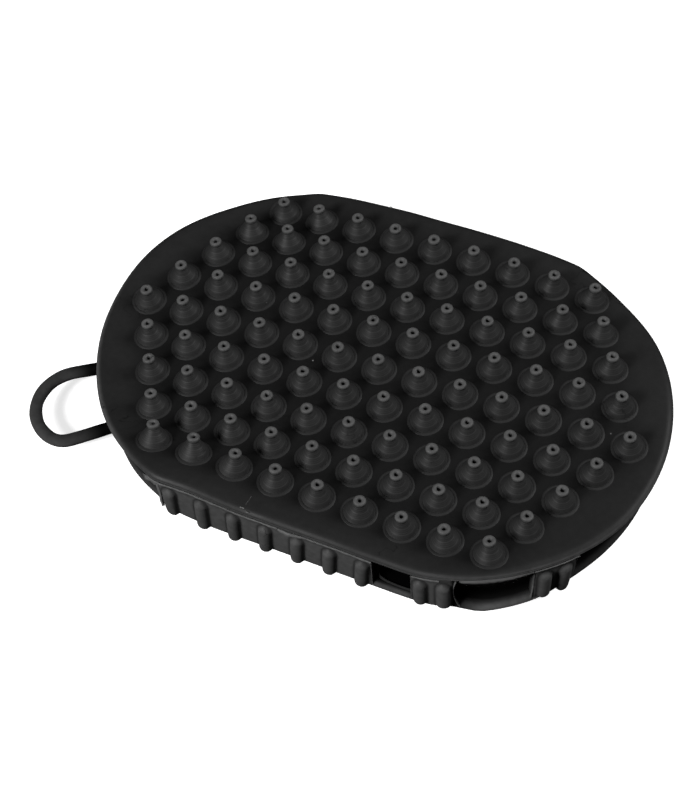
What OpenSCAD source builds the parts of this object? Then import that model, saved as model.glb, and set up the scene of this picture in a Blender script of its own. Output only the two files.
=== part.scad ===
// Two-sided silicone grooming mitt: a cone face and a pin face joined by ribbed side walls,
// open at the wrist and at the fingertips, with a moulded hanging loop at the wrist.
// X runs from the wrist (-) to the fingertips (+), -Y is the front side, the pin tips stand on Z = 0.

/* [Outline] */
// Length of the cone face from wrist to fingertips
mitt_l = 164.2; // [156:0.2:172]
// Width of the cone face across the hand
mitt_w = 112.4; // [110:0.2:116]
// Radius of the round ends of the cone face
end_r = 59.4; // [58:0.2:62]
// Step from the cone face's round ends in to the body
rim_overhang = 1.2; // [0.8:0.1:1.6]
// Step from the cone face's long sides in to the side walls
side_overhang = 0.3; // [0.2:0.1:0.6]

/* [Thickness] */
// Thickness of both faces
sheet_t = 2.4; // [2:0.1:3]
// Height of the hand pocket between the faces
pocket_h = 10.8; // [9:0.2:14]
// Thickness of the side walls and posts
wall_t = 1.8; // [1.4:0.1:2.2]

/* [Cones] */
// Spacing of the cones along a row
cone_pitch = 12; // [11.8:0.1:12.2]
// Spacing of the rows of cones
row_pitch = 11.05; // [10.8:0.05:11.2]
// Height of a cone
cone_h = 6.2; // [5.4:0.1:7]
// Diameter of a cone at its foot
cone_d = 10; // [9:0.1:10.2]
// Diameter of the smooth ring on a cone's tip
tip_d = 3.5; // [3.3:0.1:3.9]
// Diameter of the pinhole in a cone's tip
pinhole_d = 1.1; // [0.8:0.1:1.4]

/* [Pins] */
// Spacing of the pins along a row
pin_pitch = 9; // [8.8:0.1:9.2]
// Spacing of the rows of pins
pin_row_pitch = 7.8; // [7.6:0.1:8]
// Height of a pin
pin_h = 4.5; // [3.5:0.1:5]
// Diameter of a pin at its root
pin_d = 3.2; // [2.6:0.1:3.4]
// Diameter of a pin at its tip
pin_tip_d = 2; // [1.4:0.1:2.4]

/* [Side walls] */
// Where each long wall ends at the wrist, along X
wall_from = -41.4; // [-42:0.2:-40]
// Where each long wall ends at its window, along X
wall_to = 20; // [18:0.2:20.4]
// Where each middle post starts, along X
mid_post_from = 30.8; // [30:0.2:32]
// Where each middle post ends, along X
mid_post_to = 42; // [41:0.2:43]
// Angle from the X axis at which each tip post starts
tip_post_from = 36.5; // [36:0.5:37]
// Angle from the X axis at which each tip post ends
tip_post_to = 48.7; // [48.3:0.2:49.1]

/* [Ribs] */
// Width of a grip rib
rib_w = 4.2; // [3.6:0.1:4.4]
// How far a grip rib stands out of its wall
rib_out = 1.5; // [1.2:0.1:1.6]
// Spacing of the ribs on the long walls
rib_pitch = 9.25; // [9:0.05:9.4]
// Number of ribs on each long wall
wall_ribs = 7; // [3:1:7]

/* [Hanging loop] */
// Diameter of the loop's strand
strand_d = 3.7; // [3.2:0.1:3.8]
// Radius of the loop's wide bend
loop_r = 12.6; // [12:0.1:13]
// Radius of the loop's tight bend
loop_small_r = 6; // [5.5:0.1:6.5]
// Length of the fixed root of each strand, from the rim to the flex line
root_l = 5; // [4.6:0.1:5.5]

/* [Hidden] */

$fn = 96;

// Heights above the pin tips
pocket_z = pin_h + sheet_t;
cone_sheet_z = pocket_z + pocket_h;
cone_z = cone_sheet_z + sheet_t;

// Outline of the cone face, and of the body under its rim: two round ends cut off at the long sides
end_x = mitt_l / 2 - end_r;
half_w = mitt_w / 2;
body_end_x = end_x - rim_overhang;
body_r = end_r - rim_overhang;
body_half_w = half_w - side_overhang;
rim_round_top = 0.48 * sheet_t;
rim_round_bottom = 0.25 * sheet_t;
body_round_bottom = 0.33 * sheet_t;

// Rows of cones: the middle row holds most, each next row one fewer
middle_cones = 13;
side_rows = 4;
function row_count(r) = middle_cones - abs(r);
function row_x(r, i) = (i - (row_count(r) - 1) / 2) * cone_pitch;

// The cone face's wrist lip flexes about a line that weaves between the seats of the cones
cone_hinge_x = -3.75 * cone_pitch;
hinge_gap = 0.45;
cone_seat_d = cone_d + 0.4;

// Rows of pins, kept inside the body's outline
pin_side_rows = 6;
pin_margin = 5.5;
pins_each_way = 9;
function pin_x(r, i) = (i + (abs(r) % 2) / 2) * pin_pitch;
function pin_reach(y) = body_end_x + sqrt(pow(body_r - pin_margin, 2) - y * y);

// Ribs
rib_r = rib_w / 2;
rib_sink = rib_r - rib_out;
rib_from_z = pin_h + 0.4;
rib_to_z = cone_sheet_z - 1.3;
first_rib_x = -38.4;
mid_rib_x = [33.5, 39.7];
tip_rib_angle = [39.9, 45.7];

// Loop: both strands leave the rim of the pin face at its front wrist corner and lean forward.
// Its centreline runs from the back flex point: straight, a wide bend, a tight bend, straight.
strand_r = strand_d / 2;
strand_z = pin_h + strand_r - 0.45;
strand_sides = 12;
bend_steps = 32;
rim_point = [-76.9, -16.2];
back_heading = 213;
wide_bend = 136;
tight_bend = 53;
back_run = 7.4;
front_run = 9;
flex_gap = 0.3;
back_flex = straight_on([rim_point[0], rim_point[1], back_heading], root_l);
wide_start = straight_on(back_flex, back_run);
wide_len = loop_r * wide_bend * PI / 180;
tight_start = turned(wide_start, loop_r, wide_bend);
bends_end = back_run + wide_len + loop_small_r * tight_bend * PI / 180;
front_start = turned(tight_start, loop_small_r, tight_bend);
loop_len = bends_end + front_run;

colour_sheet = [0.13, 0.13, 0.135];
colour_cone = [0.17, 0.17, 0.175];
colour_wall = [0.15, 0.15, 0.155];
colour_rib = [0.18, 0.18, 0.185];
colour_pin = [0.16, 0.16, 0.165];
colour_loop = [0.12, 0.12, 0.125];

// ---- shared shapes ----

// Half section of a plate's edge, from x = 0 out to len, rounded above and below
module edge_section(len, t, r_top, r_bottom) {
  translate([0, r_bottom]) square([len, t - r_top - r_bottom]);
  square([len - r_bottom, r_bottom]);
  translate([len - r_bottom, r_bottom]) circle(r_bottom);
  if (r_top > 0) {
    translate([0, t - r_top]) square([len - r_top, r_top]);
    translate([len - r_top, t - r_top]) circle(r_top);
  }
}

// Plate with two round ends, cut off at the long sides, with its edge rounded all round
module plate(cx, r, hw, t, r_top, r_bottom) {
  intersection() {
    union() {
      for (s = [-1, 1]) translate([s * cx, 0, 0]) rotate_extrude($fn = 192) edge_section(r, t, r_top, r_bottom);
      translate([-cx, -r, 0]) cube([2 * cx, 2 * r, t]);
    }
    rotate([90, 0, 90]) translate([0, 0, -cx - 2 * r]) linear_extrude(2 * cx + 4 * r) {
      edge_section(hw, t, r_top, r_bottom);
      mirror([1, 0]) edge_section(hw, t, r_top, r_bottom);
    }
  }
}

// Plan of the body, drawn in by inset
module body_plan(inset = 0) {
  intersection() {
    union() {
      for (s = [-1, 1]) translate([s * body_end_x, 0]) circle(body_r - inset, $fn = 192);
      square([2 * body_end_x, 2 * (body_r - inset)], center = true);
    }
    square([2 * mitt_l, 2 * (body_half_w - inset)], center = true);
  }
}

module front_band(from_z, h) {
  translate([0, 0, from_z]) linear_extrude(h) difference() {
    body_plan();
    body_plan(wall_t);
  }
}

// Everything between two X positions on the front side
module front_slab(from_x, to_x) {
  translate([from_x, -mitt_w, 0]) cube([to_x - from_x, mitt_w, 2 * cone_z]);
}

// Wedge on the front side between two angles about the finger end's centre
module front_wedge(from_a, to_a) {
  reach = 2 * body_r;
  translate([body_end_x, 0, 0]) linear_extrude(2 * cone_z)
    polygon([[0, 0], reach * [cos(from_a), -sin(from_a)], reach * [cos(to_a), -sin(to_a)]]);
}

module to_rear() {
  mirror([0, 1, 0]) children();
}

// ---- cones ----

// One cone: a stepped foot, a turned flank that narrows to a neck, and a smooth ring with a pinhole
module cone() {
  foot_h = 0.35;
  neck_z = cone_h - 1.3;
  tip_ring_r = (tip_d - pinhole_d) / 4;
  rotate_extrude() difference() {
    union() {
      square([cone_d / 2, foot_h]);
      polygon([[0, 0], [cone_d / 2 - 0.45, 0], [cone_d / 2 - 0.45, foot_h], [cone_d / 2 - 1.6, 2.1],
        [cone_d / 2 - 2.7, 3.7], [tip_d / 2 - 0.25, neck_z], [tip_d / 2 - 0.25, cone_h - tip_ring_r],
        [0, cone_h - tip_ring_r]]);
      translate([tip_d / 2 - tip_ring_r, cone_h - tip_ring_r]) circle(tip_ring_r, $fn = 32);
    }
    translate([-pinhole_d, cone_h - 1.6]) square([1.5 * pinhole_d, 2]);
  }
}

module row_of_cones(r, wrist_side) {
  for (i = [0 : row_count(r) - 1])
    if ((row_x(r, i) < cone_hinge_x) == wrist_side)
      translate([row_x(r, i), r * row_pitch, cone_z]) cone();
}

module cone_row(r) {
  color(colour_cone) row_of_cones(r, false);
}

module lip_cones() {
  color(colour_cone) for (r = [-side_rows : side_rows]) row_of_cones(r, true);
}

// Seats of the cones that the flex line passes under
module hinge_seats(wrist_side, grow) {
  for (r = [-side_rows : side_rows], i = [0 : row_count(r) - 1])
    if (abs(row_x(r, i) - cone_hinge_x) < cone_seat_d / 2 && (row_x(r, i) < cone_hinge_x) == wrist_side)
      translate([row_x(r, i), r * row_pitch]) circle(cone_seat_d / 2 + grow);
}

// Plan of the wrist side of the cone face, drawn in by inset along the flex line
module cone_lip_plan(inset) {
  difference() {
    translate([-mitt_l, -mitt_w]) square([mitt_l + cone_hinge_x - inset, 2 * mitt_w]);
    hinge_seats(false, inset);
  }
  hinge_seats(true, -inset);
}

// ---- faces ----

module cone_face() {
  translate([0, 0, cone_sheet_z]) plate(end_x, end_r, half_w, sheet_t, rim_round_top, rim_round_bottom);
}

module cone_sheet() {
  color(colour_sheet) difference() {
    cone_face();
    linear_extrude(2 * cone_z) cone_lip_plan(-hinge_gap / 2);
  }
}

module cone_lip() {
  color(colour_sheet) intersection() {
    cone_face();
    linear_extrude(2 * cone_z) cone_lip_plan(hinge_gap / 2);
  }
}

module pin_sheet() {
  color(colour_sheet) translate([0, 0, pin_h])
    plate(body_end_x, body_r, body_half_w, sheet_t, 0, body_round_bottom);
}

module pin_field() {
  color(colour_pin) for (r = [-pin_side_rows : pin_side_rows], i = [-pins_each_way : pins_each_way])
    if (abs(pin_x(r, i)) < pin_reach(r * pin_row_pitch))
      translate([pin_x(r, i), r * pin_row_pitch, 0]) cylinder(d1 = pin_tip_d, d2 = pin_d, h = pin_h, $fn = 32);
}

// ---- side walls and posts ----

module front_wall() {
  color(colour_wall) intersection() {
    front_band(pocket_z, pocket_h);
    front_slab(wall_from, wall_to);
  }
}

module front_mid_post() {
  color(colour_wall) intersection() {
    front_band(pocket_z, pocket_h);
    front_slab(mid_post_from, mid_post_to);
  }
}

module front_tip_post() {
  color(colour_wall) intersection() {
    front_band(pocket_z, pocket_h);
    front_wedge(tip_post_from, tip_post_to);
  }
}

// ---- grip ribs ----

// Round bar with a domed top
module rib_bar() {
  translate([0, 0, rib_from_z]) cylinder(r = rib_r, h = rib_to_z - rib_r - rib_from_z);
  translate([0, 0, rib_to_z - rib_r]) sphere(rib_r);
}

// Leaves only what stands outside the body
module outside_body() {
  difference() {
    children();
    linear_extrude(2 * cone_z) body_plan();
  }
}

module front_wall_ribs() {
  color(colour_rib) outside_body()
    for (i = [0 : wall_ribs - 1])
      translate([first_rib_x + i * rib_pitch, -body_half_w + rib_sink, 0]) rib_bar();
}

module front_mid_post_ribs() {
  color(colour_rib) outside_body()
    for (x = mid_rib_x) translate([x, -body_half_w + rib_sink, 0]) rib_bar();
}

module front_tip_post_ribs() {
  color(colour_rib) outside_body()
    for (a = tip_rib_angle)
      translate([body_end_x, 0, 0]) rotate(-a) translate([body_r - rib_sink, 0, 0]) rib_bar();
}

// ---- hanging loop ----

// Where the loop's centreline is at length s from its back flex point: [x, y, heading]
function straight_on(p, len) = [p[0] + len * cos(p[2]), p[1] + len * sin(p[2]), p[2]];
function turned(p, r, a) = [p[0] + r * (sin(p[2] + a) - sin(p[2])), p[1] - r * (cos(p[2] + a) - cos(p[2])), p[2] + a];
function degrees_of(len, r) = len / r * 180 / PI;
function loop_at(s) =
  s < back_run ? straight_on(back_flex, s)
  : s < back_run + wide_len ? turned(wide_start, loop_r, degrees_of(s - back_run, loop_r))
  : s < bends_end ? turned(tight_start, loop_small_r, degrees_of(s - back_run - wide_len, loop_small_r))
  : straight_on(front_start, s - bends_end);

// Rings of the strand, as [length along it, radius]: a dome, the bends in even steps, a dome
dome_angles = [70, 45, 20];
loop_rings = concat(
  [for (a = dome_angles) [-strand_r * sin(a), strand_r * cos(a)]],
  [[0, strand_r]],
  [for (i = [0 : bend_steps]) [back_run + (bends_end - back_run) * i / bend_steps, strand_r]],
  [[loop_len, strand_r]],
  [for (i = [2 : -1 : 0]) [loop_len + strand_r * sin(dome_angles[i]), strand_r * cos(dome_angles[i])]]);

function ring_points(ring) = let (p = loop_at(ring[0])) [
  for (k = [0 : strand_sides - 1]) let (a = 360 * k / strand_sides) [
    p[0] - ring[1] * cos(a) * sin(p[2]),
    p[1] + ring[1] * cos(a) * cos(p[2]),
    strand_z + ring[1] * sin(a)]];

module hanging_loop() {
  n = strand_sides;
  last = len(loop_rings) - 1;
  color(colour_loop) polyhedron(
    points = [for (ring = loop_rings) each ring_points(ring)],
    faces = concat(
      [[for (k = [0 : n - 1]) k]],
      [[for (k = [n - 1 : -1 : 0]) last * n + k]],
      [for (j = [0 : last - 1], k = [0 : n - 1])
        [j * n + k, (j + 1) * n + k, (j + 1) * n + (k + 1) % n, j * n + (k + 1) % n]]));
}

// The strand's fixed end, from its flex gap back to the rim at the given point of the centreline
module root(s, back) {
  p = loop_at(s);
  start = strand_r + flex_gap;
  translate([p[0], p[1], strand_z]) rotate(p[2] + back) translate([start, 0, 0]) rotate([0, 90, 0])
    cylinder(d = strand_d, h = root_l, $fn = 32);
}

module loop_roots() {
  color(colour_loop) outside_body() {
    root(0, 180);
    root(loop_len, 0);
  }
}

cone_sheet();
cone_row(-4);  // cone_row_1
cone_row(-3);  // cone_row_2
cone_row(-2);  // cone_row_3
cone_row(-1);  // cone_row_4
cone_row(0);  // cone_row_5
cone_row(1);  // cone_row_6
cone_row(2);  // cone_row_7
cone_row(3);  // cone_row_8
cone_row(4);  // cone_row_9
pin_sheet();
pin_field();
front_wall();
to_rear() front_wall();  // rear_wall
front_wall_ribs();
to_rear() front_wall_ribs();  // rear_wall_ribs
front_mid_post();
to_rear() front_mid_post();  // rear_mid_post
front_mid_post_ribs();
to_rear() front_mid_post_ribs();  // rear_mid_post_ribs
front_tip_post();
to_rear() front_tip_post();  // rear_tip_post
front_tip_post_ribs();
to_rear() front_tip_post_ribs();  // rear_tip_post_ribs
cone_lip();
lip_cones();
loop_roots();
hanging_loop();
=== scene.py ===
import math
import random

import bmesh
import bpy
import numpy as np
from mathutils import Matrix, Vector


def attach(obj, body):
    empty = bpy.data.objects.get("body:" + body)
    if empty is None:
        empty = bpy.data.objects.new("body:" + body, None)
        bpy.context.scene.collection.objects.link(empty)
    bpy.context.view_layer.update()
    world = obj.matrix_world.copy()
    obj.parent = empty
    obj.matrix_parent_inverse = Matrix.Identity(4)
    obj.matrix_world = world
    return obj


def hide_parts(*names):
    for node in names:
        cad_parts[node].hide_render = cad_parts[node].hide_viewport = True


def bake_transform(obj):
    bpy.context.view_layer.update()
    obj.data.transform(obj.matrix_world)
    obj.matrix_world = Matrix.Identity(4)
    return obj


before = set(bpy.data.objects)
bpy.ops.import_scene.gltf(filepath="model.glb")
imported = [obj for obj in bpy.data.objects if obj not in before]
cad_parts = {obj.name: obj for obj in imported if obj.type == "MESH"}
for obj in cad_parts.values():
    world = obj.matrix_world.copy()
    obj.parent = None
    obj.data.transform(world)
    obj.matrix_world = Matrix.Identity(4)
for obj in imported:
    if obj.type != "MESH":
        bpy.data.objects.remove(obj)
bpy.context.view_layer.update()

MM = 0.001
random.seed(11)

# ---- sizes of the part, in millimetres ----
END_X, END_R, HALF_W = 22.7, 59.4, 56.2
BODY_X, BODY_R, BODY_HALF_W = 21.5, 58.2, 55.9
PIN_H, SHEET_T, POCKET_H = 4.5, 2.4, 10.8
POCKET_Z = PIN_H + SHEET_T
FACE_Z = POCKET_Z + POCKET_H
CONE_Z = FACE_Z + SHEET_T
WALL_T = 1.8
CONE_PITCH, ROW_PITCH, MIDDLE_CONES, SIDE_ROWS = 12.0, 11.05, 13, 4
PIN_PITCH, PIN_ROW_PITCH, PIN_SIDE_ROWS, PIN_MARGIN = 9.0, 7.8, 6, 5.5
WALL_FROM, WALL_TO = -41.4, 20.0
MID_POST = (30.8, 42.0)
TIP_POST = (36.5, 48.7)
FIRST_RIB, RIB_PITCH, WALL_RIBS = -38.4, 9.25, 7
MID_RIBS = (33.5, 39.7)
TIP_RIBS = (39.9, 45.7)
RIB_R, RIB_OUT, RIB_DOME_Z = 2.1, 1.5, 14.3
WALL_FOOT_Z = 4.35
STRAND_R, STRAND_Z = 1.85, 5.9


# ---- camera ----
def add_camera():
    place = Vector((98.32, -218.02, 363.52)) * MM
    aim = Vector((-1.97, -15.81, 26.3)) * MM
    roll = math.radians(4.851)
    forward = (aim - place).normalized()
    level = forward.cross(Vector((0, 0, 1))).normalized()
    up = level.cross(forward)
    right = level * math.cos(roll) - up * math.sin(roll)
    over = right.cross(forward)
    data = bpy.data.cameras.new("camera")
    data.lens = 67.417
    data.sensor_width = 36
    data.clip_start, data.clip_end = 0.01, 20
    camera = bpy.data.objects.new("camera", data)
    turn = Matrix((right, over, -forward)).transposed()
    camera.matrix_world = Matrix.Translation(place) @ turn.to_4x4()
    bpy.context.scene.collection.objects.link(camera)
    bpy.context.scene.camera = camera


# ---- shared shape code ----
def rise(v, a, b):
    """A smooth step, from 0 at a to 1 at b."""
    t = np.clip((np.asarray(v, float) - a) / (b - a), 0, 1)
    return t * t * (3 - 2 * t)


def body_lift(x, y):
    """How far the whole mitt lies off the table at its front wrist corner."""
    x, y = np.asarray(x, float), np.asarray(y, float)
    return 2.7 * rise(-y, 26, 58) * (1 - rise(x, -14, 26)) * (1 - 0.5 * rise(-x, 50, 80))


def face_sag(x, y):
    """How far the cone face lies above its flat shape."""
    x, y = np.asarray(x, float), np.asarray(y, float)
    out = np.hypot(np.maximum(np.abs(x) - END_X, 0), y) / END_R
    inside = 1 - rise(out, 0.84, 1.0)
    return (
        body_lift(x, y)
        + 2.2 * rise(-y, 26, 58) * rise(x, 30, 50) * (1 - 0.6 * rise(x, 52, 72))
        + 1.3 * rise(-y, 45, 56) * rise(x, -8, 16) * (1 - rise(x, 46, 64))
        + (0.5 - 1.3 * inside) * rise(-x, 44, 70)
        - (0.6 + 1.3 * inside) * rise(y, 26, 46) * rise(-x, 26, 48)
        + 1.0 * rise(y, -8, 14)
        + 2.4 * rise(-y, 36, 56) * rise(-x, 14, 34)
        + 1.3 * rise(out, 0.8, 1.0) * rise(x, 44, 60) * (1 - rise(y, -8, 12))
        - 2.0 * rise(y, 20, 50) * rise(x, 26, 56)
        + 1.2 * rise(y, 28, 56) * (1 - rise(np.abs(x), 10, 36))
        - 0.3 * rise(x, 50, 80)
    )


def new_piece(name, points, faces, material, tint=None):
    mesh = bpy.data.meshes.new(name)
    mesh.from_pydata((np.asarray(points, float) * MM).tolist(), [], faces)
    mesh.polygons.foreach_set("use_smooth", [True] * len(mesh.polygons))
    mesh.validate()
    if tint is not None:
        values = mesh.attributes.new("tint", "FLOAT", "POINT")
        values.data.foreach_set("value", np.asarray(tint, np.float32))
    mesh.materials.append(material)
    made = bpy.data.objects.new(name, mesh)
    bpy.context.scene.collection.objects.link(made)
    return made


def grid_faces(rows, columns, first=0):
    """Quads between rows of points stored row by row, each row closed on itself."""
    faces = []
    for j in range(rows - 1):
        a, b = j * columns, (j + 1) * columns
        for i in range(columns):
            n = (i + 1) % columns
            faces.append((first + a + i, first + a + n, first + b + n, first + b + i))
    return faces


def merge(obj, distance=0.00002):
    work = bmesh.new()
    work.from_mesh(obj.data)
    bmesh.ops.remove_doubles(work, verts=work.verts, dist=distance)
    bmesh.ops.recalc_face_normals(work, faces=work.faces)
    work.to_mesh(obj.data)
    work.free()


def outline(cx, r, hw, worn, step=1.2):
    """Points round a plate with two round ends cut off at the long sides, with their outward directions."""
    cut = math.asin(hw / r)
    arc = [cut * (k / 60 * 2 - 1) for k in range(61)]
    pts = [(cx + r * math.cos(a), r * math.sin(a)) for a in arc]
    end = cx + r * math.cos(cut)
    n = int(2 * end / step)
    pts += [(end - 2 * end * k / n, hw) for k in range(1, n)]
    pts += [(-x, -y) for x, y in pts]
    pts = np.array(pts)
    soft = worn * rise(pts[:, 0], 10, 34) * rise(-pts[:, 1], 20, 46)
    for k in range(60):
        share = soft if k > 1 else np.ones(len(pts))
        even = (np.roll(pts, 1, 0) + 2 * pts + np.roll(pts, -1, 0)) / 4
        pts = pts + (even - pts) * share[:, None]
    along = np.roll(pts, -1, 0) - np.roll(pts, 1, 0)
    along /= np.linalg.norm(along, axis=1)[:, None]
    out = np.stack([along[:, 1], -along[:, 0]], 1)
    x, y = pts[:, 0], pts[:, 1]
    fingers = 1.1 * rise(x, 30, 48) * (1 - 0.9 * rise(x, 56, 72)) * rise(y, 12, 34)
    wrist = 1.5 * rise(-x, 30, 48) * (1 - 0.6 * rise(-x, 64, 78)) * rise(y, 14, 34)
    return pts - out * (worn * (fingers + wrist))[:, None], out


RIM = outline(END_X, END_R, HALF_W, 1.0)


def on_rim(x, y):
    """The nearest point of the cone face's rim to a point, and the outward direction there."""
    pts, out = RIM
    k = int(np.argmin(np.hypot(pts[:, 0] - x, pts[:, 1] - y)))
    n = out[k]
    gap = (x - pts[k, 0]) * n[0] + (y - pts[k, 1]) * n[1]
    return np.array([x, y]) - gap * n, n


def to_rim(x, y, nx, ny):
    """How far the rim lies outward of a point, along the given direction."""
    at, _ = on_rim(x, y)
    return float((at[0] - x) * nx + (at[1] - y) * ny)


def plate(name, shape, profile, rings, lift, material, rim_wave=0.0, bulge=None, tint=None):
    """A sheet lofted from its middle line out to a rim with the given (inset, height) profile."""
    pts, out = shape
    cx = np.max(pts[:, 0]) - np.max(pts[:, 1]) * 1.02
    heart = np.stack([np.clip(pts[:, 0], -cx, cx), np.zeros(len(pts))], 1)
    wave = rim_wave * wobble(np.arange(len(pts)) / len(pts), 7)
    rows = []
    first_inset, top = profile[0]
    last_inset, low = profile[-1]
    edge = pts - out * first_inset
    for u in np.linspace(0, 1, rings)[:-1]:
        rows.append((heart + (edge - heart) * u, np.full(len(pts), top)))
    for inset, z in profile:
        rows.append((pts - out * (inset + wave[:, None]), np.full(len(pts), z)))
    edge = pts - out * last_inset
    for u in np.linspace(1, 0, rings)[1:]:
        rows.append((heart + (edge - heart) * u, np.full(len(pts), low)))
    xyz = np.concatenate([np.column_stack([p, z]) for p, z in rows])
    pale = None if tint is None else tint(xyz)
    if bulge is not None:
        xyz = bulge(xyz)
    xyz[:, 2] += lift(xyz[:, 0], xyz[:, 1])
    made = new_piece(name, xyz, grid_faces(len(rows), len(pts)), material, pale)
    merge(made)
    return made


def wobble(t, waves, seed=3):
    """A smooth unsteady line round a closed outline, from -1 to 1."""
    draw = random.Random(seed)
    total = np.zeros(len(t))
    for k in range(1, waves + 1):
        total += draw.uniform(0.3, 1) * np.sin(2 * math.pi * (k * 3 * t + draw.random()))
    return total / waves


# ---- materials ----
def node_of(tree, kind, **values):
    made = tree.nodes.new(kind)
    for key, value in values.items():
        if key in made.inputs:
            made.inputs[key].default_value = value
        else:
            setattr(made, key, value)
    return made


def ramp(tree, source, stops):
    made = tree.nodes.new("ShaderNodeValToRGB")
    while len(made.color_ramp.elements) < len(stops):
        made.color_ramp.elements.new(0.5)
    for element, (place, value) in zip(made.color_ramp.elements, stops):
        element.position = place
        element.color = (value, value, value, 1)
    tree.links.new(source, made.inputs[0])
    return made.outputs["Color"]


def silicone(name, shade, gloss, shine=0.22, dust=1.0, tint=None):
    """Moulded black silicone: cloudy shade, fine grain, a little pale dust, and a lighter colour mixed in by
    the tint attribute, which on most parts paints light and shade.
    """
    material = bpy.data.materials.new(name)
    material.use_nodes = True
    tree = material.node_tree
    tree.nodes.clear()
    out = tree.nodes.new("ShaderNodeOutputMaterial")
    shader = tree.nodes.new("ShaderNodeBsdfPrincipled")
    shader.inputs["Specular IOR Level"].default_value = shine
    shader.inputs["IOR"].default_value = 1.42
    tree.links.new(shader.outputs[0], out.inputs[0])
    place = tree.nodes.new("ShaderNodeTexCoord").outputs["Object"]

    def noise(scale, detail=3.0, rough=0.5):
        made = node_of(tree, "ShaderNodeTexNoise", Scale=scale, Detail=detail, Roughness=rough)
        tree.links.new(place, made.inputs["Vector"])
        return made.outputs["Fac"]

    def mix(factor, a, b, blend="MIX"):
        made = tree.nodes.new("ShaderNodeMix")
        made.data_type = "RGBA"
        made.blend_type = blend
        for index, value in ((0, factor), (6, a), (7, b)):
            if isinstance(value, bpy.types.NodeSocket):
                tree.links.new(value, made.inputs[index])
            else:
                made.inputs[index].default_value = value if index == 0 else (value, value, value, 1)
        return made.outputs[2]

    clouds = ramp(tree, noise(38, 4, 0.6), [(0.3, shade * 0.86), (0.7, shade * 1.14)])
    colour = mix(0.35, clouds, ramp(tree, noise(900, 2), [(0.35, shade * 0.8), (0.65, shade * 1.2)]))
    if tint is not None:
        where = tree.nodes.new("ShaderNodeAttribute")
        where.attribute_name = "tint"
        paler = ramp(tree, noise(500), [(0.3, tint * 0.85), (0.7, tint * 1.15)])
        colour = mix(where.outputs["Fac"], colour, paler)
    if dust > 0:
        specks = node_of(tree, "ShaderNodeTexVoronoi", Scale=95.0)
        tree.links.new(place, specks.inputs["Vector"])
        dots = ramp(tree, specks.outputs["Distance"], [(0.0, 1.0), (0.022, 1.0), (0.034, 0.0), (1.0, 0.0)])
        few = ramp(tree, noise(60, 1), [(0.48, 0.0), (0.54, 1.0)])
        spot = mix(1.0, dots, few, "MULTIPLY")
        faint = tree.nodes.new("ShaderNodeMath")
        faint.operation = "MULTIPLY"
        faint.inputs[1].default_value = dust
        tree.links.new(spot, faint.inputs[0])
        colour = mix(faint.outputs[0], colour, 0.16)
        thread = ramp(tree, noise(210, 2), [(0.488, 0.0), (0.5, 0.85), (0.512, 0.0)])
        short = ramp(tree, noise(75, 1), [(0.64, 0.0), (0.67, 1.0)])
        colour = mix(mix(1.0, thread, short, "MULTIPLY"), colour, shade * 0.25)
    tree.links.new(colour, shader.inputs["Base Color"])
    tree.links.new(
        ramp(tree, noise(120, 4, 0.6), [(0.3, gloss - 0.05), (0.7, gloss + 0.06)]),
        shader.inputs["Roughness"],
    )
    height = noise(2600, 3, 0.6)
    bump = node_of(tree, "ShaderNodeBump", Strength=0.35, Distance=0.00004)
    tree.links.new(height, bump.inputs["Height"])
    tree.links.new(bump.outputs[0], shader.inputs["Normal"])
    return material


# ---- cone face ----
FACE_RIM = [
    (2.2, 0.0), (1.6, -0.06), (1.05, -0.24), (0.6, -0.52), (0.28, -0.82), (0.12, -1.05),
    (0.1, -1.18), (0.3, -1.27), (0.3, -1.36), (0.08, -1.45), (0.0, -1.62), (0.02, -1.9),
    (0.12, -2.12), (0.34, -2.3), (0.7, -2.38), (1.3, -2.4),
]


def painted_face_light(xyz):
    """Painted light on the cone face: the border outside the cones is a little lighter where the cones cast
    no shade, the side of the rim lighter as a painted reflection, most along the front towards the ends, and
    the wrist rim's rounded edge lighter as a painted highlight.
    """
    x, y = np.abs(xyz[:, 0]), np.abs(xyz[:, 1])
    beyond = np.maximum(0.88 * (x + 0.543 * y - 72), y - 44.2)
    border = 0.144 * rise(beyond, 0, 9)
    front = rise(-xyz[:, 1], -30, 15)
    lit = 0.34 + front * (0.6 * rise(xyz[:, 0], 20, 60) + 0.4 * rise(-xyz[:, 0], 40, 70))
    wrist = 0.8 * rise(-xyz[:, 0], 45, 70) * rise(-xyz[:, 1], -30, 20)
    return border + lit * rise(CONE_Z - xyz[:, 2], 0.3, 1.1) + wrist * rise(CONE_Z - xyz[:, 2], 0.02, 0.5)


def add_cone_face(material):
    profile = [(inset, CONE_Z + z) for inset, z in FACE_RIM]
    made = plate("cone_face_sheet", RIM, profile, 34, face_sag, material, rim_wave=0.12, tint=painted_face_light)
    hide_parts("cone_sheet", "cone_lip")
    bend_lip(made)


def bend_lip(piece):
    """Bakes the piece's placement into its mesh; the wrist lip is not bent here."""
    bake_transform(piece)


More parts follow.
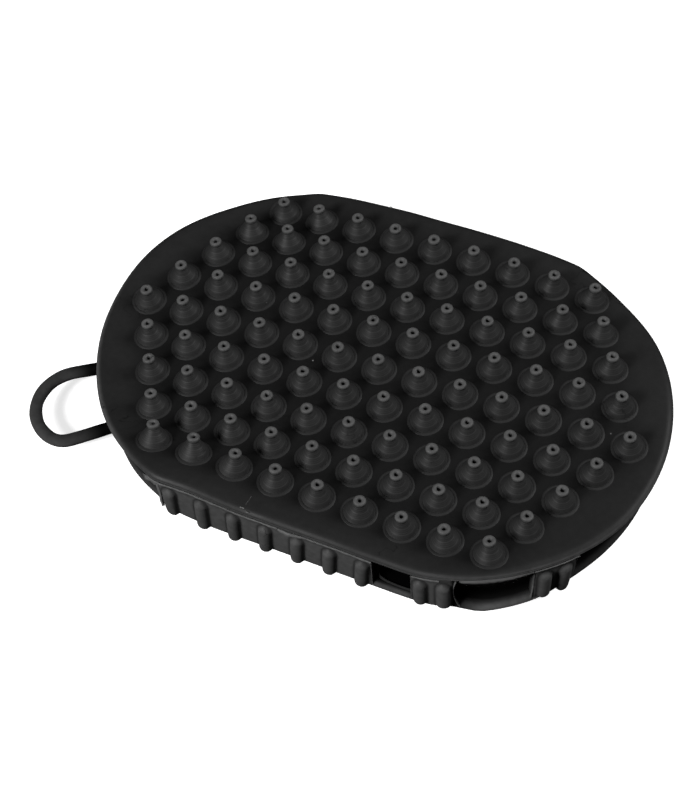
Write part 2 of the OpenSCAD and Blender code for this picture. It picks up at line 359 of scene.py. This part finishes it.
# ---- cones ----
def cone_profile():
    """(radius, height, tint) from the foot up the turned flank, over the tip ring and down the pinhole. The
    tint paints light and shade: the tip ring lighter as a painted highlight, the flank a little lighter as
    lit, and the gaps between its terraces, the foot's outer edge and the pinhole darker as painted shade.
    """
    low = [(5.1, -0.3, 0.0), (5.04, 0.0, 0.0), (4.94, 0.08, 0.0), (4.76, 0.14, 0.08), (4.54, 0.17, 0.12),
           (4.3, 0.19, 0.12), (4.24, 0.18, 0.04), (4.18, 0.17, 0.04), (4.12, 0.2, 0.1), (4.1, 0.4, 0.16)]
    flank = []
    steps = (0.0, 0.1, 0.17, 0.29, 0.41, 0.5, 0.62, 0.71, 0.83, 0.93, 1.0)
    for k, t in enumerate(steps):
        z = 0.5 + 4.35 * t
        r = 1.62 + 2.47 * (1 - t) + 0.5 * math.sin(math.pi * t) * (0.42 - t)
        flank.append((r, z, 0.25))
        if k < len(steps) - 1:
            gap = 0.13 if k % 3 else 0.19
            flank.append((r - gap, z + 0.12, 0.0))
    ring_r, ring_z = 0.6, 5.56
    ring = []
    for k in range(9):
        a = math.radians(-52 + k * 28)
        ring.append((1.15 + ring_r * math.cos(a), ring_z + ring_r * math.sin(a), 1.0))
    hole = [(0.53, 5.3, 0.3), (0.5, 4.9, 0.0), (0.46, 4.5, 0.0), (0.0, 4.5, 0.0)]
    return low + flank + ring + hole


def add_cones(material):
    profile = np.array(cone_profile())
    sides = 40
    angle = np.arange(sides) / sides * 2 * math.pi
    for r in range(-SIDE_ROWS, SIDE_ROWS + 1):
        count = MIDDLE_CONES - abs(r)
        points, faces, tints = [], [], []
        for i in range(count):
            x = (i - (count - 1) / 2) * CONE_PITCH
            points_of, tint_of = one_cone(profile, angle, x, r * ROW_PITCH)
            faces += grid_faces(len(profile), sides, first=len(tints))
            points.append(points_of)
            tints += list(tint_of)
        name = f"cone_row_{r + SIDE_ROWS + 1}"
        made = new_piece(name + "_turned", np.concatenate(points), faces, material, tints)
        merge(made)
        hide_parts(name, "lip_cones")
        bend_lip(made)


def one_cone(profile, angle, x, y):
    """A cone that stands square on the sagging face, each a little different from the next."""
    lean = np.array([random.gauss(0, 0.012), random.gauss(0, 0.012)])
    high = 1 + random.gauss(0, 0.008)
    phase, pinch = random.uniform(0, 2 * math.pi), random.uniform(0.02, 0.16)
    step = 0.5
    slope_x = float(face_sag(x + step, y) - face_sag(x - step, y)) / (2 * step)
    slope_y = float(face_sag(x, y + step) - face_sag(x, y - step)) / (2 * step)
    up = np.array([-slope_x + lean[0], -slope_y + lean[1], 1.0])
    up /= np.linalg.norm(up)
    side = np.cross([0.0, 1.0, 0.0], up)
    side /= np.linalg.norm(side)
    front = np.cross(up, side)
    radius = profile[:, 0][:, None] * np.ones(len(angle))
    in_hole = (profile[:, 0] < 0.6)[:, None]
    uneven = 1 + pinch * np.cos(angle * 2 + phase) + 0.6 * pinch * np.cos(angle * 3 - phase)
    radius = np.where(in_hole, radius * uneven, radius)
    local = np.stack([radius * np.cos(angle), radius * np.sin(angle)], -1)
    z = profile[:, 1][:, None] * high * np.ones(len(angle))
    base = np.array([x, y, CONE_Z + float(face_sag(x, y))])
    points = base + local[..., :1] * side + local[..., 1:] * front + z[..., None] * up
    on_sheet = CONE_Z + face_sag(points[..., 0], points[..., 1]) + z
    low = 1 - rise(z, 0.3, 2.6)
    points[..., 2] += (on_sheet - points[..., 2]) * low
    tint = np.repeat(profile[:, 2], len(angle))
    return points.reshape(-1, 3), tint


# ---- pin face ----
PIN_RIM = [
    (2.6, 0.0), (1.7, -0.03), (1.05, -0.14), (0.6, -0.36), (0.28, -0.7), (0.08, -1.1), (0.0, -1.5),
    (0.1, -1.9), (0.35, -2.2), (0.75, -2.37), (1.3, -2.4),
]


def pin_lift(x, y):
    """How far the pin face lies off the table: at the front wrist corner and by the middle post."""
    x, y = np.asarray(x, float), np.asarray(y, float)
    corner = 3.0 * np.exp(-(((x + 44) / 12) ** 2))
    post = 1.2 * np.exp(-(((x - 40) / 5) ** 2))
    return 0.45 * body_lift(x, y) * rise(-y, 30, 50) + (corner + post) * rise(-y, 40, 54)


def pin_bow(x, y):
    """How far the pin face's free edge bows outward between the middle and tip posts."""
    return rise(x, 41.5, 50) * (1 - rise(x, 60, 72)) * rise(-np.asarray(y, float), 24, 46)


def pin_bulge(xyz):
    bow = pin_bow(xyz[:, 0], xyz[:, 1])
    xyz[:, 0] += 0.6 * bow
    xyz[:, 1] -= 1.1 * bow
    xyz[:, 2] -= 0.4 * bow
    return xyz


def painted_lip_light(xyz):
    """Painted light on the pin face: its bowed edge, tip, sill and heel are painted lighter as lit edges and
    its underside a little lighter, while its inner face is left near black as painted shade.
    """
    out = np.hypot(np.maximum(np.abs(xyz[:, 0]) - BODY_X, 0), xyz[:, 1]) / BODY_R
    bowed = pin_bow(xyz[:, 0], xyz[:, 1]) * rise(out, 0.93, 1.0) ** 2.4
    tip = 0.3 * rise(out, 0.955, 1.0) ** 2 * rise(xyz[:, 0], 50, 60)
    sill = 0.6 * rise(-xyz[:, 1], 54.5, 55.7) * rise(xyz[:, 0], 18.6, 20.4) * (1 - rise(xyz[:, 0], 30, 32))
    under = 0.2 * rise(POCKET_Z - xyz[:, 2], 1.9, 2.38)
    heel = 0.4 * rise(out, 0.96, 1.0) * rise(-xyz[:, 0], 36, 46)
    return np.max([bowed, tip, sill, under, heel], axis=0)


def add_pin_face(material):
    profile = [(inset, POCKET_Z + z) for inset, z in PIN_RIM]
    shape = outline(BODY_X, BODY_R, BODY_HALF_W, 0.0)
    made = plate("pin_face_sheet", shape, profile, 30, pin_lift, material, 0.08, pin_bulge, painted_lip_light)
    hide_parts("pin_sheet")
    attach(made, "mitt_body")


def add_pins(material):
    """Short round-tipped pins, kept inside the body's outline."""
    profile = [
        (2.1, 4.7), (1.85, 4.42), (1.68, 4.1), (1.58, 3.5), (1.35, 1.9), (1.15, 0.75),
        (1.0, 0.35), (0.68, 0.09), (0.0, 0.0),
    ]
    sides = 20
    angle = np.arange(sides) / sides * 2 * math.pi
    points, faces, tints = [], [], []
    for r in range(-PIN_SIDE_ROWS, PIN_SIDE_ROWS + 1):
        y = r * PIN_ROW_PITCH
        reach = BODY_X + math.sqrt((BODY_R - PIN_MARGIN) ** 2 - y * y)
        for i in range(-9, 10):
            x = (i + (abs(r) % 2) / 2) * PIN_PITCH
            if abs(x) >= reach:
                continue
            lift = float(pin_lift(x, y))
            for k, (radius, z) in enumerate(profile):
                ring_x, ring_y = x + radius * np.cos(angle), y + radius * np.sin(angle)
                points.append(np.stack([ring_x, ring_y, np.full(sides, z + lift)], 1))
                tints += [0.3 if k > 5 else 0.0] * sides
            first = len(tints) - len(profile) * sides
            faces += grid_faces(len(profile), sides, first=first)
    made = new_piece("pins", np.concatenate(points), faces, material, tints)
    merge(made)
    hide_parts("pin_field")
    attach(made, "mitt_body")


# ---- side walls and posts ----
def body_edge(s, straight):
    """A point on the body's front edge, and outward there: s is X on the straight side, or an angle."""
    if straight:
        cut = BODY_X + math.sqrt(BODY_R**2 - BODY_HALF_W**2)
        if abs(s) <= cut:
            return (s, -BODY_HALF_W), (0.0, -1.0)
        side = math.copysign(1, s)
        a = math.acos((abs(s) - BODY_X) / BODY_R)
        out = (side * math.cos(a), -math.sin(a))
        return (side * BODY_X + BODY_R * out[0], BODY_R * out[1]), out
    a = math.radians(s)
    return (BODY_X + BODY_R * math.cos(a), -BODY_R * math.sin(a)), (math.cos(a), -math.sin(a))


def rib_gap(d_along, z, lean, foot):
    """Distance from the middle line of a rib with domed ends, at a distance along the wall and a height."""
    high = np.maximum(0, z - RIB_DOME_Z)
    low = np.maximum(0, foot - z)
    return np.sqrt((d_along + lean * (z - 10) * 0.02) ** 2 + high**2 + low**2)


def rib_height(gap):
    """How far a round rib stands out at a distance from its middle line."""
    return np.sqrt(np.maximum(0, RIB_R**2 - gap**2)) - (RIB_R - RIB_OUT)


def soft_max(a, b, k):
    """The larger of two values, with the step between them rounded over k."""
    h = np.clip(0.5 + 0.5 * (a - b) / k, 0, 1)
    return b + (a - b) * h + k * h * (1 - h)


def wall(name, start, stop, ribs, straight, side, nodes, material, lean=0.0, rib_foot=(5.7,)):
    """A side wall or post as one moulding with its ribs, between two places on the body's edge."""
    unit = 1.0 if straight else math.degrees(1 / BODY_R)
    length = abs(stop - start) / unit
    columns = int(length / 0.28) + 1
    heights = np.concatenate([
        np.linspace(WALL_FOOT_Z, 7.4, 12)[:-1],
        np.linspace(7.4, 14.6, 14)[:-1],
        np.linspace(14.6, FACE_Z + 0.05, 13),
    ])
    s = np.linspace(start, stop, columns)
    outer, inner, tints = [], [], []
    for place in s:
        (x, y), (nx, ny) = body_edge(place, straight)
        out = np.full(len(heights), 0.0)
        # Painted shade: the outer face is painted darker in the creases beside each rib and near the top
        # under the rim, and the inner side gets tint 0, painted dark.
        pale = np.ones(len(heights))
        for k, rib in enumerate(ribs):
            gap = rib_gap((place - rib) / unit, heights, lean, rib_foot[k % len(rib_foot)])
            out = soft_max(out, rib_height(gap), 0.1)
            pale = np.minimum(pale, 1 - 0.8 * np.exp(-(((gap - 2.15) / 0.4) ** 2)))
        pale = pale * (1 - 0.5 * rise(heights, 15.6, 17.2))
        tints += list(pale) + [0.0] * len(heights)
        edge = min(abs(place - start), abs(place - stop)) / unit
        out = out - 0.35 * (1 - rise(edge, 0, 0.5))
        belly = 0.25 * np.sin((heights - WALL_FOOT_Z) / (FACE_Z - WALL_FOOT_Z) * math.pi)
        foot = -0.9 * (1 - rise(heights, 4.3, 5.6)) * (1 - rise(out, 0.1, 0.9))
        share = np.clip((heights - PIN_H) / (FACE_Z - PIN_H), 0, 1)
        if side > 0:
            y, ny = -y, -ny
        top_out = to_rim(x, y, nx, ny) - 0.25
        reach = out + belly + foot + top_out * share + 0.9 * float(pin_bow(x, y)) * (1 - share)
        up = float(pin_lift(x, y))
        top = float(face_sag(x, y))
        z = heights + up + (top - up) * np.clip((heights - POCKET_Z) / POCKET_H, 0, 1)
        outer.append(np.stack([x + nx * reach, y + ny * reach, z], 1))
        inner.append(np.stack([x - nx * WALL_T + 0 * z, y - ny * WALL_T + 0 * z, z], 1))
    loops = [np.concatenate([o, i[::-1]]) for o, i in zip(outer, inner)]
    ring = len(loops[0])
    points = np.concatenate(loops)
    faces = grid_faces(columns, ring)
    n = len(heights)
    for base in (0, (columns - 1) * ring):
        for k in range(n - 1):
            faces.append((base + k, base + k + 1, base + ring - 2 - k, base + ring - 1 - k))
    made = new_piece(name, points, faces, material, tints)
    merge(made)
    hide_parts(*nodes)
    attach(made, "mitt_body")


def add_walls(material):
    long_ribs = [FIRST_RIB + k * RIB_PITCH for k in range(WALL_RIBS)]
    for side, word in ((-1, "front"), (1, "rear")):
        wall(f"{word}_wall_moulding", WALL_FROM, WALL_TO, long_ribs, True, side,
             [f"{word}_wall", f"{word}_wall_ribs"], material, -4.0)
        wall(f"{word}_mid_post_moulding", *MID_POST, MID_RIBS, True, side,
             [f"{word}_mid_post", f"{word}_mid_post_ribs"], material, 1.0, (7.3,))
        wall(f"{word}_tip_post_moulding", TIP_POST[1], TIP_POST[0], TIP_RIBS, False, side,
             [f"{word}_tip_post", f"{word}_tip_post_ribs"], material, 0.0, (5.1, 7.2))


# ---- mould flash ----
def fin(base, tip, thick, points, faces):
    """A thin three-sided fin that runs along base and narrows to tip, added to a piece's points and faces."""
    base, tip = np.asarray(base, float), np.asarray(tip, float)
    along = np.gradient(base, axis=0)
    across = np.cross(along, tip - base)
    across /= np.maximum(np.linalg.norm(across, axis=1), 1e-9)[:, None]
    rows = np.stack([base + across * thick / 2, tip, base - across * thick / 2], 1)
    first = sum(len(p) for p in points)
    points.append(rows.reshape(-1, 3))
    faces += grid_faces(len(base), 3, first=first)
    last = first + (len(base) - 1) * 3
    faces += [(first, first + 1, first + 2), (last + 2, last + 1, last)]


def rim_line(places, inset, drop, straight, side):
    """Points under the cone face's rim, at each place along the body's edge."""
    line = []
    for place in places:
        (x, y), _ = body_edge(place, straight)
        at, n = on_rim(x, y * -side)
        x, y = at - n * inset
        line.append((x, y, FACE_Z - drop + float(face_sag(x, y))))
    return np.array(line)


def ragged(count, low, high, seed):
    """Random sizes from low to high, smoothed a little."""
    draw = random.Random(seed)
    raw = np.array([draw.uniform(low, high) for _ in range(count)])
    return (np.roll(raw, 1) + 2 * raw + np.roll(raw, -1)) / 4


def seam(start, stop, straight, side, low, high, seed, points, faces, drop=0.15, down=0.15):
    """The parting-line flash that shows as a fine pale line under the rim."""
    unit = 1.0 if straight else math.degrees(1 / END_R)
    count = int(abs(stop - start) / unit / 0.5) + 2
    places = np.linspace(start, stop, count)
    base = rim_line(places, 0.25, drop, straight, side)
    edge = rim_line(places, -0.2, drop + down, straight, side)
    reach = ragged(count, low, high, seed)[:, None]
    fin(base, base + (edge - base) * reach / 0.45, 0.15, points, faces)


def add_flash(material):
    points, faces = [], []
    for side, seed in ((-1, 5), (1, 8)):
        seam(-44.5, 20.0, True, side, 0.35, 0.62, seed, points, faces)
        seam(30.8, 38.5, True, side, 0.35, 0.55, seed + 1, points, faces)
        seam(48.7, 36.0, False, side, 0.35, 0.6, seed + 2, points, faces)
    torn = rim_line(np.linspace(-6.5, 0.5, 14), 0.3, 0.2, True, -1)
    size = (0.5 + 0.5 * np.sin(np.linspace(0, math.pi, 14)) * ragged(14, 0.6, 1.3, 21))[:, None]
    fin(torn, torn + np.array([0, -1.2, -0.2]) * size, 0.3, points, faces)
    add_window_strip(points, faces)
    add_nicks(points, faces)
    add_torn_end(points, faces)
    add_post_edges(points, faces)
    made = new_piece("mould_flash", np.concatenate(points), faces, material)
    bend_lip(made)


def add_window_strip(points, faces):
    """A membrane left under the rim at the large front window, deepest at its middle."""
    angles = np.linspace(68, 48.9, 40)
    base = rim_line(angles, 0.55, -0.15, False, -1)
    depth = 0.3 + 3.4 * np.sin(np.linspace(0.05, 0.96, 40) * math.pi) ** 0.7 * ragged(40, 0.9, 1.1, 31)
    tip = rim_line(angles, 0.0, 0.0, False, -1)
    tip[:, 2] -= depth
    fin(base, tip, 0.5, points, faces)


def add_inner_edge(material):
    """A thin raised line that curves round the inside of the small front window."""
    points, faces = [], []
    x = np.array([20.1, 20.4, 21.5, 23.5, 27.0, 30.6])
    y = np.array([-52.2, -53.0, -53.7, -54.1, -54.3, -54.3])
    z = np.array([11.5, 8.6, 7.4, 7.0, 6.9, 6.9])
    base = np.stack([x, y, z + pin_lift(x, y)], 1)
    fin(base, base + np.array([0, -0.2, 0.6]), 1.0, points, faces)
    made = new_piece("window_inner_edge", np.concatenate(points), faces, material)
    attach(made, "mitt_body")


def add_nicks(points, faces):
    """Small torn spots on the rim, with a pale scratch running in from the front ones."""
    for x, y, length, rough in ((-16.7, -54.9, 1.3, 61), (-15.0, -55.6, 0.8, 62), (-18.1, 55.2, 0.9, 63)):
        run = np.linspace(-length / 2, length / 2, 8)
        side = math.copysign(1, y)
        base = np.stack([x + run, np.full(8, y), np.full(8, CONE_Z - 0.25) + face_sag(x + run, y)], 1)
        size = ragged(8, 0.2, 1.4, rough)[:, None]
        fin(base, base + np.array([0.1, 0.45 * side, 0.3]) * size, 0.3, points, faces)
    run = np.linspace(0, 1, 10)
    x, y = -16.2 + 0.3 * run, -54.0 + 3.1 * run
    base = np.stack([x, y, CONE_Z - 0.02 + face_sag(x, y)], 1)
    fin(base, base + np.array([0, 0, 0.06]), 0.1, points, faces)


def add_torn_end(points, faces):
    """The ragged tongue and thin edges where the long wall ends at the wrist."""
    base = np.array([
        (-40.6, -54.9, 17.6), (-42.0, -54.7, 17.5), (-43.6, -54.4, 17.4),
        (-45.2, -54.2, 17.4), (-46.6, -54.0, 17.5),
    ])
    base[:, 2] += [float(face_sag(x, y)) - 1.6 for x, y, _ in base]
    size = np.array([0.3, 1.6, 1.1, 1.3, 0.4])[:, None]
    fin(base, base + np.array([-0.3, -0.8, -0.3]) * size, 0.9, points, faces)
    heights = np.linspace(5.2, 17.4, 14)
    lifts = [float(pin_lift(-42, -56)), float(face_sag(-42, -56))]
    x = WALL_FROM - 0.1 + 0.5 * np.sin((heights - 5) / 6)
    base = np.stack([x, np.full(14, -55.4), heights + np.interp(heights, [5.2, 17.4], lifts)], 1)
    tip = base + np.array([-0.5, -0.55, 0]) * (1.2 * ragged(14, 0.7, 1.4, 41))[:, None]
    fin(base, tip, 0.45, points, faces)


def edge_fin(place, straight, shift, reach, points, faces, thick=0.26):
    """A thin pale edge up the end of a wall or post; shift bends it along the wall from foot to top."""
    heights = np.linspace(5.4, 17.5, 16)
    t = (heights - 5.4) / 12.1
    unit = 1.0 if straight else math.degrees(1 / BODY_R)
    bend = np.polyval(np.polyfit([0, 0.5, 1], shift, 2), t)
    base, tip = [], []
    for k, z in enumerate(heights):
        (x, y), (nx, ny) = body_edge(place + float(bend[k]) * unit, straight)
        up = float(pin_lift(x, y)) + (float(face_sag(x, y)) - float(pin_lift(x, y))) * t[k]
        bow = 0.9 * float(pin_bow(x, y)) * (1 - t[k]) + (to_rim(x, y, nx, ny) - 0.25) * t[k]
        base.append((x + nx * (bow - 0.5), y + ny * (bow - 0.5), z + up))
        tip.append((x + nx * (bow + reach), y + ny * (bow + reach), z + up))
    fin(base, tip, thick, points, faces)


def add_post_edges(points, faces):
    edge_fin(WALL_TO - 0.1, True, (0, 0, 0), 0.12, points, faces)
    edge_fin(MID_POST[0] + 0.1, True, (0, 0, 0), 0.12, points, faces)
    edge_fin(MID_POST[1] + 0.2, True, (1.6, -0.1, 0.6), 0.25, points, faces, 0.42)
    edge_fin(TIP_POST[1] - 0.1, False, (0.5, 0, 0), 0.15, points, faces)
    edge_fin(TIP_POST[0] + 0.1, False, (0, 0, 0), 0.15, points, faces)


# ---- hanging loop ----
def loop_path():
    """The loop's centreline, from its back root in the rim to its front root."""
    heading = math.radians(213)
    at = np.array([-76.9, -16.2])
    legs = [(5.0, 0), (7.4, 0), (12.6, 136), (6.0, 53), (9.0, 0), (5.4, 0)]
    path = [at.copy()]
    for size, turn in legs:
        steps = max(4, int((size if not turn else math.radians(turn) * size) / 0.45))
        for _ in range(steps):
            if turn:
                bend = math.radians(turn) / steps
                chord = 2 * size * math.sin(bend / 2)
                at = at + chord * np.array([math.cos(heading + bend / 2), math.sin(heading + bend / 2)])
                heading += bend
            else:
                at = at + size / steps * np.array([math.cos(heading), math.sin(heading)])
            path.append(at.copy())
    return np.array(path)


def add_loop(material):
    path = loop_path()
    for _ in range(12):
        path[1:-1] = (path[:-2] + 2 * path[1:-1] + path[2:]) / 4
    inward = 1.6
    back_shadow, front_shadow = (8.8, 16.8), (5.8, 14.8)
    first = path[0] - (path[1] - path[0]) / np.linalg.norm(path[1] - path[0]) * inward
    last = path[-1] + (path[-1] - path[-2]) / np.linalg.norm(path[-1] - path[-2]) * inward
    path = np.concatenate([[first], path, [last]])
    along = np.gradient(path, axis=0)
    along /= np.linalg.norm(along, axis=1)[:, None]
    normal = np.stack([-along[:, 1], along[:, 0]], 1)
    gone = np.concatenate([[0], np.cumsum(np.linalg.norm(np.diff(path, axis=0), axis=1))])
    to_end = np.minimum(gone, gone[-1] - gone)
    sides = 24
    angle = np.arange(sides) / sides * 2 * math.pi
    rows, tints = [], []
    for k, (p, n) in enumerate(zip(path, normal)):
        # Painted shadow: the strand is painted near black near each root, where the rim shades it, and its
        # sides are painted lighter than its top and bottom as a painted rim light.
        unshadowed = float(rise(gone[k], *back_shadow) * rise(gone[-1] - gone[k], *front_shadow))
        tints += list(unshadowed * (0.55 + 0.45 * np.abs(np.cos(angle)) ** 2))
        flare = 0.3 * (1 - float(rise(to_end[k], 0.6, 4.6)))
        wide = STRAND_R * (1 + 0.02 * math.sin(gone[k] * 0.8)) + flare
        tall = STRAND_R * (1 + 0.015 * math.sin(gone[k] * 0.5 + 1)) - 0.35 * flare
        ridge = 0.045 * (np.abs(np.sin(angle)) < 0.1)
        lift = 0.35 * float(rise(to_end[k], 8, 26))
        rows.append(np.stack([
            p[0] + n[0] * (wide + ridge) * np.cos(angle),
            p[1] + n[1] * (wide + ridge) * np.cos(angle),
            STRAND_Z + lift + tall * np.sin(angle),
        ], 1))
    points = np.concatenate(rows)
    faces = grid_faces(len(path), sides)
    faces.append(tuple(range(sides)))
    faces.append(tuple(range(len(points) - sides, len(points)))[::-1])
    made = new_piece("hanging_loop_moulding", points, faces, material, tints)
    merge(made)
    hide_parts("hanging_loop", "loop_roots")
    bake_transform(made)


# ---- stage ----
def add_floor():
    size = 1.6
    mesh = bpy.data.meshes.new("floor")
    corners = [(-size, -size, 0), (size, -size, 0), (size, size, 0), (-size, size, 0)]
    mesh.from_pydata(corners, [], [(0, 1, 2, 3)])
    material = bpy.data.materials.new("pale_floor")
    material.use_nodes = True
    shader = material.node_tree.nodes["Principled BSDF"]
    shader.inputs["Base Color"].default_value = (0.85, 0.85, 0.85, 1)
    shader.inputs["Roughness"].default_value = 0.9
    shader.inputs["Emission Color"].default_value = (1, 1, 1, 1)
    shader.inputs["Emission Strength"].default_value = 0.72
    mesh.materials.append(material)
    floor = bpy.data.objects.new("floor", mesh)
    bpy.context.scene.collection.objects.link(floor)
    floor.visible_diffuse = False
    floor.visible_glossy = False


def add_light(name, azimuth, elevation, distance, size, power):
    """A soft square lamp that faces the middle of the part."""
    a, e = math.radians(azimuth), math.radians(elevation)
    middle = Vector((-5, 0, 12)) * MM
    away = Vector((math.sin(a) * math.cos(e), -math.cos(a) * math.cos(e), math.sin(e)))
    data = bpy.data.lights.new(name, "AREA")
    data.size = size
    data.energy = power
    lamp = bpy.data.objects.new(name, data)
    lamp.location = middle + away * distance
    lamp.rotation_mode = "QUATERNION"
    lamp.rotation_quaternion = (-away).to_track_quat("-Z", "Y")
    bpy.context.scene.collection.objects.link(lamp)


def add_lights():
    world = bpy.data.worlds.new("studio")
    world.use_nodes = True
    tree = world.node_tree
    back = tree.nodes["Background"]
    back.inputs["Strength"].default_value = 0.3
    axes = tree.nodes.new("ShaderNodeSeparateXYZ")
    tree.links.new(tree.nodes.new("ShaderNodeTexCoord").outputs["Generated"], axes.inputs[0])
    sky = ramp(tree, axes.outputs["Z"], [(0.0, 0.02), (0.5, 0.05), (0.7, 0.4), (1.0, 0.6)])
    tree.links.new(sky, back.inputs["Color"])
    bpy.context.scene.world = world
    add_light("key", -30, 38, 0.9, 0.26, 9.2)
    add_light("side", 122, 38, 1.0, 0.45, 8.2)
    bpy.context.scene.view_settings.view_transform = "Standard"


add_camera()
# All parts are the same black silicone; their different shades paint light and shade: the face darker as
# painted shade between the cones, the cones and walls lighter where lit, the pin face near black inside and
# the window's inner edge darker as painted shade, the loop near black where its roots are painted in shadow,
# and the flash pale as a painted highlight on its thin edges.
add_cone_face(silicone("face_silicone", 0.005, 0.5, shine=0.18, tint=0.05))
add_cones(silicone("cone_silicone", 0.01, 0.56, shine=0.24, tint=0.06))
add_pin_face(silicone("pin_face_silicone", 0.001, 0.6, shine=0.012, tint=0.085))
add_pins(silicone("pin_silicone", 0.015, 0.54, tint=0.04))
add_walls(silicone("wall_silicone", 0.01, 0.55, shine=0.15, tint=0.06))
add_inner_edge(silicone("inner_edge_silicone", 0.018, 0.6, shine=0.05))
add_loop(silicone("loop_silicone", 0.0015, 0.7, shine=0.04, tint=0.05))
add_flash(silicone("flash_silicone", 0.1, 0.5, dust=0))
add_floor()
add_lights()
